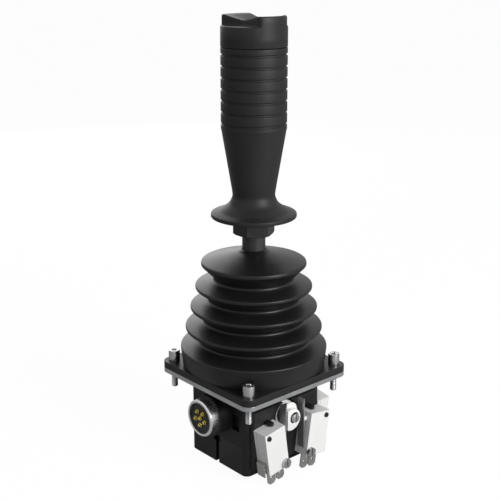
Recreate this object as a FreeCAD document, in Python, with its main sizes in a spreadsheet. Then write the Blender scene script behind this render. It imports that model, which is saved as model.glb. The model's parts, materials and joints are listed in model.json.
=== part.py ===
import FreeCAD, Part
import math
import os
import Sketcher
from FreeCAD import Placement, Rotation, Vector

# Two-axis industrial joystick with a twist cap, for mounting in a panel.
# Frame: origin at the centre of the underside of the mounting plate, +Z up along the lever, millimetres.
# The round connector faces -Y. One pair of snap-action switches faces +X, the other faces +Y.

DOC = FreeCAD.newDocument("Joystick")
SHEET = DOC.addObject("Spreadsheet::Sheet", "Sizes")

DRIVING = [
    # plates and their screws
    ("plate_side", 82.6), ("plate_round", 6.0), ("plate_thick", 2.7), ("plate_bore", 22.0),
    ("seat_deep", 0.3), ("seat_gap", 0.1),
    ("flange_thick", 4.3), ("collar_rad", 36.5), ("collar_wall", 3.0), ("collar_top", 14.0),
    ("screw_spacing", 70.0), ("screw_rad", 2.0), ("shank_rad", 2.1), ("shank_low", 0.3),
    ("screw_hole", 2.25), ("screw_end", 10.5),
    ("screw_head_rad", 3.5), ("screw_head_high", 6.9), ("screw_key", 3.0), ("screw_key_deep", 2.5),
    # rubber gaiter: first fold, then the even row of folds below it
    ("gaiter_neck", 7.3), ("gaiter_lip", 1.8), ("gaiter_top", 81.4), ("gaiter_across", 2.9),
    ("gaiter_drop", 0.6), ("fold_edge", 1.4), ("first_rad", 31.8), ("first_high", 72.2),
    ("second_rad", 35.4), ("second_high", 57.7), ("fold_grow", 3.15), ("fold_pitch", 12.85),
    ("valley_in", 12.6), ("valley_up", 4.5), ("drum_low_rad", 43.6), ("foot_inset", 1.5),
    ("foot_step", 0.5), ("neck_step", 1.0),
    # lever
    ("rod_rad", 7.0), ("rod_thin", 5.0), ("rod_shoulder", 7.5), ("rod_top", 150.0), ("rod_seat", 106.0),
    ("tail_rad", 3.0), ("tail_down", 23.5), ("nut_flats", 22.0), ("nut_base", 90.0), ("nut_high", 8.0),
    ("nut_chamfer", 1.2),
    # grip
    ("guard_rad", 25.5), ("guard_high", 101.8), ("guard_thick", 1.9), ("guard_under", 5.5),
    ("guard_under_drop", 1.4), ("guard_over", 4.8), ("guard_over_rise", 1.5), ("waist_flare", 2.0),
    ("waist_drop", 3.9), ("grip_foot", 13.0),
    ("waist_rad", 12.44), ("waist_high", 113.2), ("taper_low_rad", 12.9), ("taper_low", 116.5),
    ("taper_top_rad", 18.85), ("taper_top", 152.2), ("grip_rad", 19.15), ("grip_top", 199.3),
    ("groove_first", 3.9), ("groove_pitch", 6.53), ("groove_wide", 1.4), ("groove_deep", 0.7),
    ("pocket_rad", 14.6), ("pocket_floor", 170.0), ("sensor_high", 14.0), ("sensor_gap", 0.05),
    ("bearing_high", 8.0),
    # twist cap
    ("cap_gap", 0.3), ("cap_disc", 10.8), ("cap_top", 217.0), ("cap_ridge_rad", 18.2),
    ("cap_edge", 0.8), ("finger_floor", 211.2), ("dish_rad", 17.2), ("dish_deep", 4.6),
    ("finger_corner_x", 2.8), ("finger_corner_y", 7.7), ("finger_right_x", 34.0), ("finger_right_y", 9.5),
    ("finger_left_x", 43.8), ("finger_left_y", 33.8), ("finger_out", 50.0),
    ("shaft_rad", 3.0), ("shaft_in_cap", 6.0),
    # cross frame, pivot block and bail
    ("pivot_down", 17.5), ("running", 0.05), ("side_gap", 0.25),
    ("frame_x", 16.0), ("frame_y", 12.5), ("frame_end_wall", 4.5), ("frame_wall", 3.75), ("frame_high", 12.0),
    ("block_half", 7.5), ("block_high", 13.0), ("pin_rad", 2.5), ("axle_rad", 3.5), ("axle_end", 37.0),
    ("bail_arm_in", 16.0), ("bail_arm", 3.0), ("bail_half", 5.5), ("bail_bar_half", 6.6),
    ("bail_drop", 18.5), ("bail_bar", 4.0), ("slot_gap", 0.6), ("slot_half", 12.4),
    # housing
    ("house_x", 26.5), ("house_y", 29.3), ("house_low", 51.8), ("house_split", 33.3), ("house_round", 4.0),
    ("house_wall", 4.5), ("house_floor", 3.0), ("column_x", 16.5), ("column_y", 19.5),
    ("tie_rad", 1.5), ("tie_hole", 1.75), ("tie_head_rad", 2.75), ("tie_head_high", 2.5), ("tie_key", 2.0), ("tie_key_deep", 1.2),
    ("bush_rad", 5.5), ("bush_long", 3.5), ("bush_flange_rad", 7.5), ("bush_flange", 1.2),
    ("axle_hole", 4.0),
    # front recess and stepped slot of the housing
    ("recess_left", 13.2), ("recess_right", 20.0), ("recess_top", 14.5), ("recess_low", 24.0), ("recess_deep", 2.5),
    ("slot_head_left", 3.8), ("slot_head_right", 1.8), ("slot_step", 37.5), ("slot_left", 2.0),
    ("slot_right", 0.8), ("slot_deep", 2.5),
    # connector
    ("boss_wall", 1.3), ("boss_end", 37.2), ("shell_rad", 11.4), ("shell_wall", 1.7), ("shell_root", 0.2), ("shell_back", 33.0),
    ("shell_step", 37.7),
    ("shell_end", 43.7), ("insert_back", 33.0), ("insert_front", 39.6), ("contact_rad", 1.0),
    ("contact_front", 42.9), ("contact_circle", 4.4),
    # cams
    ("cam_rad", 7.25), ("cam_off", 1.2), ("cam_near", 32.0), ("hub_rad", 5.0), ("disc_rad", 8.0),
    ("disc_thick", 0.8), ("wall_gap", 0.3), ("cam_screw_head", 3.0), ("cam_screw_high", 1.6),
    ("cam_screw_rad", 1.5), ("cam_screw_deep", 8.0), ("cam_slot", 0.8),
    # snap-action switches
    ("case_long", 27.8), ("case_wide", 15.9), ("case_thick", 10.3), ("case_back", 30.1), ("case_lean", 8.5),
    ("case_side", 11.3), ("case_top", 17.4), ("hole_edge", 2.8), ("hole_rad", 1.55),
    ("blade_gap", 0.15), ("blade_thick", 0.4), ("blade_wide", 5.3), ("blade_back", 32.3),
    ("blade_top", 7.4), ("blade_foot", 39.7), ("foot_reach", 1.8), ("foot_slack", 0.5), ("foot_deep", 2.0),
    ("plunger_down", 4.2), ("plunger_high", 2.4), ("plunger_wide", 3.0), ("plunger_long", 2.5),
    ("plunger_hole", 4.0),
    ("tab_wide", 6.3), ("tab_thick", 0.8), ("tab_long", 10.0), ("tab_first", 3.9), ("tab_pitch", 7.0),
    ("tab_hole", 0.8), ("tab_point", 1.6), ("side_tab_off", 2.4), ("side_tab_top", 19.6), ("side_tab_low", 28.6),
    ("case_screw_rad", 1.5), ("case_screw_head", 3.0), ("case_screw_high", 2.0),
    # pads behind the switches
    ("pad_half", 26.3), ("pad_top", 9.0), ("pad_under", 1.3), ("pad_bore", 9.0),
    ("finger_at", 17.0), ("finger_wide", 3.2), ("finger_low", 17.8), ("finger_high", 1.8), ("finger_long", 6.2),
    # return springs
    ("wire_rad", 0.45), ("coil_rad", 5.2), ("coil_turns", 3.0), ("coil_clear", 0.3), ("leg_end", 15.6),
    ("post_rad", 1.5), ("post_long", 4.5), ("post_fixed", 13.5), ("post_moving", 9.5), ("post_gap", 0.5),
]


class Size:
    """A number together with the formula over sheet cells that gives it."""

    def __init__(self, number, formula):
        self.number = float(number)
        self.formula = formula

    def join(self, other, sign, number):
        return Size(number, "(%s %s %s)" % (self.formula, sign, as_size(other).formula))

    def __add__(self, other):
        return self.join(other, "+", self.number + as_size(other).number)

    def __radd__(self, other):
        return as_size(other) + self

    def __sub__(self, other):
        return self.join(other, "-", self.number - as_size(other).number)

    def __rsub__(self, other):
        return as_size(other) - self

    def __mul__(self, other):
        return self.join(other, "*", self.number * as_size(other).number)

    def __rmul__(self, other):
        return as_size(other) * self

    def __truediv__(self, other):
        return self.join(other, "/", self.number / as_size(other).number)

    def __neg__(self):
        return Size(-self.number, "(0 - %s)" % self.formula)


def as_size(value):
    return value if isinstance(value, Size) else Size(value, repr(float(value)))


def number_of(value):
    return as_size(value).number


class Cells:
    """The sheet's cells by alias, each as a Size."""


def fill_sheet():
    cells = Cells()
    for row, (alias, value) in enumerate(DRIVING, start=1):
        SHEET.set("A%d" % row, alias)
        SHEET.set("B%d" % row, str(value))
        SHEET.setAlias("B%d" % row, alias)
        setattr(cells, alias, Size(value, "Sizes." + alias))
    DOC.recompute()
    return cells


S = fill_sheet()
NODES = []


# Sketches, pads and turned shapes whose sizes are bound to the sheet

def bind(thing, path, value):
    thing.setExpression(path, as_size(value).formula)


def new_body(name):
    return DOC.addObject("PartDesign::Body", name + "_body")


def sketch_on(body, role, lift=0.0):
    plane = next(f for f in body.Origin.OriginFeatures if f.Role == role)
    sketch = body.newObject("Sketcher::SketchObject", "Sketch")
    sketch.AttachmentSupport = [(plane, "")]
    sketch.MapMode = "FlatFace"
    bind(sketch, "AttachmentOffset.Base.z", lift)
    return sketch


def fix_point(sketch, index, end, spot):
    """Holds one point of the sketch at its distances from the origin."""
    for kind, value in zip(("DistanceX", "DistanceY"), spot):
        constraint = Sketcher.Constraint(kind, -1, 1, index, end, number_of(value))
        bind(sketch, "Constraints[%d]" % sketch.addConstraint(constraint), value)


def draw_polygon(sketch, spots):
    """A closed outline of straight lines through spots."""
    points = [Vector(number_of(x), number_of(y), 0) for x, y in spots]
    first = sketch.GeometryCount
    count = len(spots)
    for i in range(count):
        sketch.addGeometry(Part.LineSegment(points[i], points[(i + 1) % count]))
    for i in range(count):
        sketch.addConstraint(Sketcher.Constraint("Coincident", first + i, 2, first + (i + 1) % count, 1))
        fix_point(sketch, first + i, 1, spots[i])


def draw_circle(sketch, centre, radius):
    middle = Vector(number_of(centre[0]), number_of(centre[1]), 0)
    index = sketch.addGeometry(Part.Circle(middle, Vector(0, 0, 1), number_of(radius)))
    fix_point(sketch, index, 3, centre)
    constraint = Sketcher.Constraint("Radius", index, number_of(radius))
    bind(sketch, "Constraints[%d]" % sketch.addConstraint(constraint), radius)


def draw(sketch, loops):
    """Each loop is ("circle", centre, radius) or a list of corner spots."""
    for loop in loops:
        if loop[0] == "circle":
            draw_circle(sketch, loop[1], loop[2])
        else:
            draw_polygon(sketch, loop)


def pad(body, role, loops, lift, length):
    """Adds the loops as a prism from lift, along the plane's normal, by length."""
    sketch = sketch_on(body, role, lift)
    draw(sketch, loops)
    feature = body.newObject("PartDesign::Pad", "Pad")
    feature.Profile = sketch
    bind(feature, "Length", length)
    DOC.recompute()


def cut(body, role, loops, lift, length):
    """Removes the loops as a prism from lift, along the plane's normal, by length."""
    sketch = sketch_on(body, role, lift)
    draw(sketch, loops)
    before = body.Shape.Volume
    feature = body.newObject("PartDesign::Pocket", "Pocket")
    feature.Profile = sketch
    feature.Reversed = True
    bind(feature, "Length", length)
    DOC.recompute()
    if not body.Shape.Volume < before - 1e-6:
        raise RuntimeError("a pocket in %s cuts nothing" % body.Name)


def along(action, body, axis, loops, start, end):
    """Pads or cuts loops between two places on the x, y or z axis."""
    if axis == "y":
        # the XZ plane's normal points along -Y
        action(body, "XZ_Plane", loops, -end, end - start)
    else:
        action(body, {"x": "YZ_Plane", "z": "XY_Plane"}[axis], loops, start, end - start)


def turn(body, spots, kind="Revolution"):
    """Turns a closed half profile of (radius, height) spots about Z."""
    sketch = sketch_on(body, "XZ_Plane")
    draw_polygon(sketch, spots)
    feature = body.newObject("PartDesign::" + kind, kind)
    feature.Profile = sketch
    feature.ReferenceAxis = (sketch, ["V_Axis"])
    feature.Angle = 360
    DOC.recompute()


def round_uprights(body, size):
    """Rounds the straight edges along Z of the body's last feature."""
    tip = body.Tip
    names = []
    for i, edge in enumerate(tip.Shape.Edges, start=1):
        if edge.Curve.TypeId == "Part::GeomLine" and abs(edge.tangentAt(edge.FirstParameter).z) > 0.999:
            names.append("Edge%d" % i)
    feature = body.newObject("PartDesign::Fillet", "Fillet")
    feature.Base = (tip, names)
    bind(feature, "Radius", size)
    DOC.recompute()


def node(thing, label):
    thing.Label = label
    NODES.append(thing)


def group(things, label):
    """Several separate solids under one node."""
    compound = DOC.addObject("Part::Compound", "Group")
    compound.Links = things
    node(compound, label)


def rectangle(x0, y0, x1, y1):
    return [(x0, y0), (x1, y0), (x1, y1), (x0, y1)]


def circle(centre, radius):
    return ("circle", centre, radius)


def four(x, y):
    """The same place in all four quarters."""
    return [(i * x, j * y) for i in (-1, 1) for j in (-1, 1)]


QUARTER = Rotation(Vector(0, 0, 1), 90)
GROOVES = 7

# Places shared by several pieces
PIVOT = -S.pivot_down
AXIS = (0, PIVOT)
FLANGE_TOP = S.plate_thick + S.flange_thick
SCREW_AT = S.screw_spacing / 2
SPLIT = -S.house_split
HOUSE_LOW = -S.house_low
INNER_X = S.house_x - S.house_wall
INNER_Y = S.house_y - S.house_wall
TIE_X = (S.column_x + S.house_x) / 2 - 0.9
TIE_Y = (S.column_y + S.house_y) / 2 - 0.9


# Plates and their screws

def plate_outline():
    half = S.plate_side / 2
    return rectangle(-half, -half, half, half)


def make_mounting_plate():
    """Square plate with a shallow seat for the housing on its underside."""
    body = new_body("mounting_plate")
    pad(body, "XY_Plane", [plate_outline()], 0, S.plate_thick)
    round_uprights(body, S.plate_round)
    holes = [circle(at, S.screw_hole) for at in four(SCREW_AT, SCREW_AT)]
    threads = [circle(at, S.tie_rad) for at in four(TIE_X, TIE_Y)]
    cut(body, "XY_Plane", [circle((0, 0), S.plate_bore)] + holes + threads, -1.0, S.plate_thick + 2.0)
    seat_x = S.house_x + S.seat_gap
    seat_y = S.house_y + S.seat_gap
    cut(body, "XY_Plane", [rectangle(-seat_x, -seat_y, seat_x, seat_y)], -1.0, S.seat_deep + 1.0)
    node(body, "mounting_plate")


def make_gaiter_flange():
    """Black plate on the mounting plate, with the round collar that the gaiter grips."""
    body = new_body("gaiter_flange")
    pad(body, "XY_Plane", [plate_outline()], S.plate_thick, S.flange_thick)
    round_uprights(body, S.plate_round)
    pad(body, "XY_Plane", [circle((0, 0), S.collar_rad)], FLANGE_TOP - 1.0, S.collar_top - FLANGE_TOP + 1.0)
    holes = [circle(at, S.screw_hole) for at in four(SCREW_AT, SCREW_AT)]
    bore = circle((0, 0), S.collar_rad - S.collar_wall)
    cut(body, "XY_Plane", [bore] + holes, 0, S.collar_top + 1.0)
    node(body, "gaiter_flange")


def make_flange_screws():
    """Socket cap screws through both plates, with their threads standing out below."""
    screws = []
    for x, y in four(SCREW_AT, SCREW_AT):
        body = new_body("flange_screw")
        pad(body, "XY_Plane", [circle((x, y), S.screw_rad)], -S.screw_end, S.screw_end - S.shank_low)
        pad(body, "XY_Plane", [circle((x, y), S.shank_rad)], -S.shank_low, S.shank_low + FLANGE_TOP)
        pad(body, "XY_Plane", [circle((x, y), S.screw_head_rad)], FLANGE_TOP, S.screw_head_high)
        top = FLANGE_TOP + S.screw_head_high
        key = hexagon(S.screw_key, (x, y))
        cut(body, "XY_Plane", [key], top - S.screw_key_deep, S.screw_key_deep + 1.0)
        screws.append(body)
    group(screws, "flange_screws")


def hexagon(flats, centre=(0, 0)):
    corner = flats / math.sqrt(3)
    spots = []
    for i in range(6):
        angle = math.radians(60 * i)
        spots.append((centre[0] + corner * math.cos(angle), centre[1] + corner * math.sin(angle)))
    return spots


# Rubber gaiter

def fold_rims():
    """Radius and height of each fold's rim from the top, with the edge of the drum last."""
    rims = [(S.first_rad, S.first_high)]
    for i in range(4):
        rims.append((S.second_rad + S.fold_grow * i, S.second_high - S.fold_pitch * i))
    return rims


def make_gaiter():
    """Bellows of even wall, the inner outline being the outer one moved in and down. The drum at the
    foot is drawn in to the sides of the plate."""
    rims = fold_rims()
    half = S.fold_edge / 2
    outer = [(S.gaiter_neck + S.gaiter_lip, S.gaiter_top), (S.gaiter_neck + S.gaiter_lip, S.gaiter_top - S.neck_step)]
    for i, (rim, high) in enumerate(rims):
        if i > 0:
            outer.append((rim - S.valley_in, high + S.valley_up))
        outer.append((rim, high + half))
        outer.append((rim, high - half))
    inner = [(r - S.gaiter_across, z - S.gaiter_drop) for r, z in outer[3:-1]]
    drum_rad, drum_high = inner[-1]
    body = new_body("gaiter")
    foot = [(S.drum_low_rad, FLANGE_TOP), (S.collar_rad + S.running, FLANGE_TOP),
            (S.collar_rad + S.running, S.collar_top), (drum_rad - S.foot_inset, S.collar_top + S.foot_step)]
    neck = [(S.gaiter_neck, S.gaiter_top - S.gaiter_lip - S.neck_step), (S.gaiter_neck, S.gaiter_top)]
    turn(body, outer + foot + inner[::-1] + neck)
    edge = S.plate_side / 2
    rim, rim_high = rims[-1]
    clear = rim + 1.0
    for side in (1, -1):
        wedge = [(edge * side, FLANGE_TOP - 1.0), (edge * side, FLANGE_TOP), (rim * side, rim_high - half),
                 (clear * side, rim_high - half), (clear * side, FLANGE_TOP - 1.0)]
        along(cut, body, "x", [wedge], -edge, edge)
        along(cut, body, "y", [wedge], -edge, edge)
    node(body, "gaiter")


# Lever, grip and twist cap

def make_lever_rod():
    """Steel rod: thick where it is seen, thin in the pivot block and the grip, with the tail below."""
    low = PIVOT - S.tail_down
    block_low = PIVOT - S.block_high / 2
    shoulder = PIVOT + S.rod_shoulder
    body = new_body("lever_rod")
    turn(body, [(0, low), (S.tail_rad - 1.0, low), (S.tail_rad, low + 1.0), (S.tail_rad, block_low),
                (S.rod_thin, block_low), (S.rod_thin, shoulder), (S.rod_rad, shoulder),
                (S.rod_rad, S.rod_seat), (S.rod_thin, S.rod_seat), (S.rod_thin, S.rod_top), (0, S.rod_top)])
    along(cut, body, "y", [circle(AXIS, S.pin_rad + S.running)], -S.rod_rad, S.rod_rad)
    node(body, "lever_rod")


def make_pivot_block():
    """Block clamped on the rod, which turns on the pivot pin between the walls of the cross frame."""
    side = S.frame_y - S.frame_wall - S.side_gap
    low = PIVOT - S.block_high / 2
    body = new_body("pivot_block")
    outline = rectangle(-S.block_half, -side, S.block_half, side)
    pad(body, "XY_Plane", [outline, circle((0, 0), S.rod_thin)], low, S.block_high)
    along(cut, body, "y", [circle(AXIS, S.pin_rad + S.running)], -S.frame_y, S.frame_y)
    node(body, "pivot_block")


def make_lock_nut():
    low = S.nut_base
    top = low + S.nut_high
    body = new_body("lock_nut")
    pad(body, "XY_Plane", [hexagon(S.nut_flats), circle((0, 0), S.rod_rad)], low, S.nut_high)
    corner = S.nut_flats / math.sqrt(3)
    for face, away in ((low, -1), (top, 1)):
        inside = face - S.nut_chamfer * 0.6 * away
        turn(body, [(corner - S.nut_chamfer, face + 0.5 * away), (corner + 1.0, face + 0.5 * away),
                    (corner + 1.0, inside), (corner, inside), (corner - S.nut_chamfer, face)], "Groove")
    node(body, "lock_nut")


def make_grip():
    """Turned hand grip: hand guard, waist, straight taper and grooved barrel, with its bores."""
    foot = S.nut_base + S.nut_high
    half = S.guard_thick / 2
    body = new_body("grip")
    turn(body, [(S.rod_rad + S.running, foot), (S.grip_foot, foot),
                (S.guard_rad - S.guard_under, S.guard_high - half - S.guard_under_drop), (S.guard_rad, S.guard_high - half),
                (S.guard_rad, S.guard_high + half),
                (S.guard_rad - S.guard_over, S.guard_high + half + S.guard_over_rise),
                (S.waist_rad + S.waist_flare, S.waist_high - S.waist_drop), (S.waist_rad, S.waist_high),
                (S.taper_low_rad, S.taper_low), (S.taper_top_rad, S.taper_top),
                (S.grip_rad, S.taper_top + 1.2), (S.grip_rad, S.grip_top), (S.pocket_rad, S.grip_top),
                (S.pocket_rad, S.pocket_floor), (S.rod_thin + S.running, S.pocket_floor),
                (S.rod_thin + S.running, S.rod_seat + S.running),
                (S.rod_rad + S.running, S.rod_seat + S.running)])
    inside = S.grip_rad - S.groove_deep
    half_wide = S.groove_wide / 2
    for i in range(GROOVES):
        middle = S.grip_top - S.groove_first - S.groove_pitch * i
        turn(body, [(inside, middle - half_wide * 0.6), (S.grip_rad + 0.5, middle - half_wide),
                    (S.grip_rad + 0.5, middle + half_wide), (inside, middle + half_wide * 0.6)], "Groove")
    node(body, "grip")


def make_twist_sensor():
    """Rotary sensor in the head of the grip, with the bore that the cap's shaft turns in."""
    radius = S.pocket_rad - S.sensor_gap
    bore = circle((0, 0), S.shaft_rad + S.running)
    top = S.pocket_floor + S.sensor_high
    body = new_body("twist_sensor")
    pad(body, "XY_Plane", [circle((0, 0), radius), bore], S.pocket_floor, S.sensor_high)
    pad(body, "XY_Plane", [circle((0, 0), S.shaft_rad * 2), bore], top - 1.0, 4.0)
    node(body, "twist_sensor")


def make_cap_bearing():
    """Ring that closes the head of the grip and carries the cap's shaft."""
    radius = S.pocket_rad - S.sensor_gap
    body = new_body("cap_bearing")
    rings = [circle((0, 0), radius), circle((0, 0), S.shaft_rad + S.running)]
    pad(body, "XY_Plane", rings, S.grip_top - S.bearing_high, S.bearing_high)
    node(body, "cap_bearing")


def make_twist_cap():
    """Twist cap: a disc with a dished top and two finger pockets that leave a ridge across it."""
    low = S.grip_top + S.cap_gap
    disc = low + S.cap_disc
    body = new_body("twist_cap")
    turn(body, [(0, low), (S.grip_rad, low), (S.grip_rad, disc), (S.cap_ridge_rad, disc + S.cap_edge),
                (S.cap_ridge_rad, S.cap_top - S.cap_edge), (S.cap_ridge_rad - S.cap_edge, S.cap_top),
                (0, S.cap_top)])
    for side in (1, -1):
        pocket = [(-S.finger_corner_x, -S.finger_corner_y), (S.finger_right_x, -S.finger_right_y),
                  (S.finger_right_x, -S.finger_out), (-S.finger_left_x, -S.finger_out),
                  (-S.finger_left_x, -S.finger_left_y)]
        loop = [(x * side, y * side) for x, y in pocket]
        cut(body, "XY_Plane", [loop], S.finger_floor, S.cap_top - S.finger_floor + 1.0)
    turn(body, [(0, S.cap_top - S.dish_deep), (S.dish_rad, S.cap_top), (S.dish_rad, S.cap_top + 1.0),
                (0, S.cap_top + 1.0)], "Groove")
    cut(body, "XY_Plane", [circle((0, 0), S.shaft_rad)], low - 1.0, S.shaft_in_cap + 1.0)
    node(body, "twist_cap")


def make_cap_shaft():
    low = S.pocket_floor + 1.0
    body = new_body("cap_shaft")
    pad(body, "XY_Plane", [circle((0, 0), S.shaft_rad)], low, S.grip_top + S.cap_gap + S.shaft_in_cap - low)
    node(body, "cap_shaft")


# Cross frame, bail and their axles

def make_cross_frame():
    """Open frame that turns about X, with bores for the pivot pin and the two axle stubs."""
    low = PIVOT - S.frame_high / 2
    outer = rectangle(-S.frame_x, -S.frame_y, S.frame_x, S.frame_y)
    inside_x = S.frame_x - S.frame_end_wall
    inside_y = S.frame_y - S.frame_wall
    body = new_body("cross_frame")
    pad(body, "XY_Plane", [outer], low, S.frame_high)
    round_uprights(body, 1.5)
    cut(body, "XY_Plane", [rectangle(-inside_x, -inside_y, inside_x, inside_y)], low - 1.0, S.frame_high + 2.0)
    lug = rectangle(-3.0, PIVOT - S.post_moving - S.post_rad - 0.5, 3.0, PIVOT - S.frame_high / 2 + 1.0)
    along(pad, body, "x", [lug], -S.frame_x, -S.frame_x + 3.0)
    along(cut, body, "y", [circle(AXIS, S.pin_rad)], -S.frame_y - 1.0, S.frame_y + 1.0)
    along(cut, body, "x", [circle(AXIS, S.axle_rad)], -S.frame_x - 1.0, S.frame_x + 1.0)
    post = circle((0, PIVOT - S.post_moving), S.post_rad)
    along(pad, body, "x", [post], S.bush_flange + S.post_gap - INNER_X, -S.frame_x)
    node(body, "cross_frame")


def make_pivot_pin():
    body = new_body("pivot_pin")
    along(pad, body, "y", [circle(AXIS, S.pin_rad)], -S.frame_y, S.frame_y)
    node(body, "pivot_pin")


def make_axles(label, inside, blind_end, turned):
    """The two stubs of an axle: a short one in its blind bush and a long one that carries the cam."""
    stubs = []
    for start, end, carries_cam in ((-blind_end, -inside, False), (inside, S.axle_end, True)):
        body = new_body("axle_stub")
        along(pad, body, "x", [circle(AXIS, S.axle_rad)], start, end)
        if carries_cam:
            along(cut, body, "x", [circle(AXIS, S.cam_screw_rad)], end - S.cam_screw_deep, end + 1.0)
        body.Placement = Placement(Vector(), turned)
        stubs.append(body)
    group(stubs, label)


def make_bail():
    """Slotted bail on the second axle, which the lever's tail carries with it."""
    outside = S.bail_arm_in + S.bail_arm
    bar_top = PIVOT - S.bail_drop
    bar_low = bar_top - S.bail_bar
    body = new_body("bail")
    bar = rectangle(-S.bail_bar_half, -outside, S.bail_bar_half, outside)
    pad(body, "XY_Plane", [bar], bar_low, S.bail_bar)
    arm = [(-S.bail_half, PIVOT + 5.5), (S.bail_half, PIVOT + 5.5), (S.bail_bar_half, bar_low),
           (-S.bail_bar_half, bar_low)]
    for start, end in ((-outside, -S.bail_arm_in), (S.bail_arm_in, outside)):
        along(pad, body, "y", [arm], start, end)
    half = S.tail_rad + S.slot_gap
    cut(body, "XY_Plane", [rectangle(-half, -S.slot_half, half, S.slot_half)], bar_low - 1.0, S.bail_bar + 2.0)
    along(cut, body, "y", [circle(AXIS, S.axle_rad)], -outside - 1.0, outside + 1.0)
    post = circle((0, PIVOT - S.post_moving), S.post_rad)
    along(pad, body, "y", [post], S.bush_flange + S.post_gap - INNER_Y, -outside + 0.5)
    node(body, "bail")


def make_axle_bushes():
    """Flanged plain bushes, pressed into the four walls from inside."""
    bushes = []
    for axis, inner in (("x", INNER_X), ("y", INNER_Y)):
        for side in (1, -1):
            body = new_body("axle_bush")
            bore = circle(AXIS, S.axle_rad + S.running)
            barrel = [circle(AXIS, S.bush_rad), bore]
            flange = [circle(AXIS, S.bush_flange_rad), bore]
            for loops, near, far in ((barrel, inner - 0.2, inner + S.bush_long),
                                     (flange, inner - S.bush_flange, inner)):
                start, end = (near, far) if side == 1 else (-far, -near)
                along(pad, body, axis, loops, start, end)
            bushes.append(body)
    group(bushes, "axle_bushes")


def make_return_spring(label, carried, wall, turned):
    """Centring spring on the blind stub, its two legs on either side of the posts."""
    offset = S.post_rad + S.wire_rad + S.running
    lean = math.asin(number_of(offset) / number_of(S.coil_rad))
    room = wall - S.bush_flange - carried - (S.coil_clear + S.wire_rad) * 2
    turns = S.coil_turns - 2 * lean / (2 * math.pi)
    body = new_body("return_spring")
    sketch = sketch_on(body, "XZ_Plane")
    sketch.AttachmentOffset = Placement(Vector(), Rotation(Vector(0, 1, 0), math.degrees(lean)))
    draw_circle(sketch, (S.coil_rad, 0), S.wire_rad)
    coil = body.newObject("PartDesign::AdditiveHelix", "AdditiveHelix")
    coil.Profile = sketch
    coil.ReferenceAxis = (sketch, ["V_Axis"])
    coil.Mode = "height-turns-angle"
    bind(coil, "Height", room)
    bind(coil, "Turns", turns)
    DOC.recompute()
    root = number_of(S.coil_rad) * math.cos(lean)
    for side, level in ((1, 0), (-1, room)):
        pad(body, "YZ_Plane", [circle((offset * side, level), S.wire_rad)], root, S.leg_end - root)
    start = carried + S.coil_clear + S.wire_rad + room
    about_axle = Placement(Vector(-number_of(start), 0, number_of(PIVOT)), Rotation(Vector(0, 1, 0), 90))
    body.Placement = Placement(Vector(), turned).multiply(about_axle)
    node(body, label)


# Housing

def house_outline():
    return rectangle(-S.house_x, -S.house_y, S.house_x, S.house_y)


def cavity_outline():
    """The inside of the walls, less a solid column in each corner for a screw."""
    x, y, near_x, near_y = INNER_X, INNER_Y, S.column_x, S.column_y
    return [(-x, -near_y), (-near_x, -near_y), (-near_x, -y), (near_x, -y), (near_x, -near_y), (x, -near_y),
            (x, near_y), (near_x, near_y), (near_x, y), (-near_x, y), (-near_x, near_y), (-x, near_y)]


def make_housing_body():
    """Upper housing with the bush bores, the spring posts and the boss of the connector."""
    front = -S.house_y
    body = new_body("housing_body")
    pad(body, "XY_Plane", [house_outline()], SPLIT, S.house_split + S.seat_deep)
    round_uprights(body, S.house_round)
    along(pad, body, "y", [circle(AXIS, (S.shell_rad + S.boss_wall))], -S.boss_end, front + 1.0)
    cut(body, "XY_Plane", [cavity_outline()], SPLIT - 1.0, S.house_split + 2.0)
    cut(body, "XY_Plane", [circle(at, S.tie_hole) for at in four(TIE_X, TIE_Y)], SPLIT - 1.0, S.house_split + 2.0)
    for axis, inner in (("x", INNER_X), ("y", INNER_Y)):
        bore = [circle(AXIS, S.bush_rad)]
        along(cut, body, axis, bore, inner - 1.0, inner + S.bush_long)
        along(cut, body, axis, bore, -inner - S.bush_long, -inner + 1.0)
        along(cut, body, axis, [circle(AXIS, S.axle_hole)], inner, inner + S.house_wall + 1.0)
        post = [circle((0, PIVOT - S.post_fixed), S.post_rad)]
        along(pad, body, axis, post, -inner - 1.0, -inner + S.post_long)
    along(cut, body, "y", [circle(AXIS, S.shell_rad - S.shell_root)], -S.boss_end - 1.0, -S.shell_back)
    recess = rectangle(S.recess_left, -S.recess_low, S.recess_right, -S.recess_top)
    along(cut, body, "y", [recess], front - 1.0, front + S.recess_deep)
    node(body, "housing_body")


def make_housing_cover():
    """Lower housing, an open-topped tub with a stepped slot in its front."""
    front = -S.house_y
    high = S.house_low - S.house_split
    body = new_body("housing_cover")
    pad(body, "XY_Plane", [house_outline()], HOUSE_LOW, high)
    round_uprights(body, S.house_round)
    cut(body, "XY_Plane", [cavity_outline()], HOUSE_LOW + S.house_floor, high)
    cut(body, "XY_Plane", [circle(at, S.tie_hole) for at in four(TIE_X, TIE_Y)], HOUSE_LOW - 1.0, high + 2.0)
    heads = [circle(at, S.tie_head_rad + S.side_gap) for at in four(TIE_X, TIE_Y)]
    cut(body, "XY_Plane", heads, HOUSE_LOW - 1.0, S.tie_head_high + 1.0)
    step = -S.slot_step
    slot = [(-S.slot_head_left, SPLIT + 1.0), (S.slot_head_right, SPLIT + 1.0), (S.slot_head_right, step),
            (S.slot_right, step), (S.slot_right, HOUSE_LOW - 1.0), (-S.slot_left, HOUSE_LOW - 1.0),
            (-S.slot_left, step), (-S.slot_head_left, step)]
    along(cut, body, "y", [slot], front - 1.0, front + S.slot_deep)
    node(body, "housing_cover")


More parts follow.
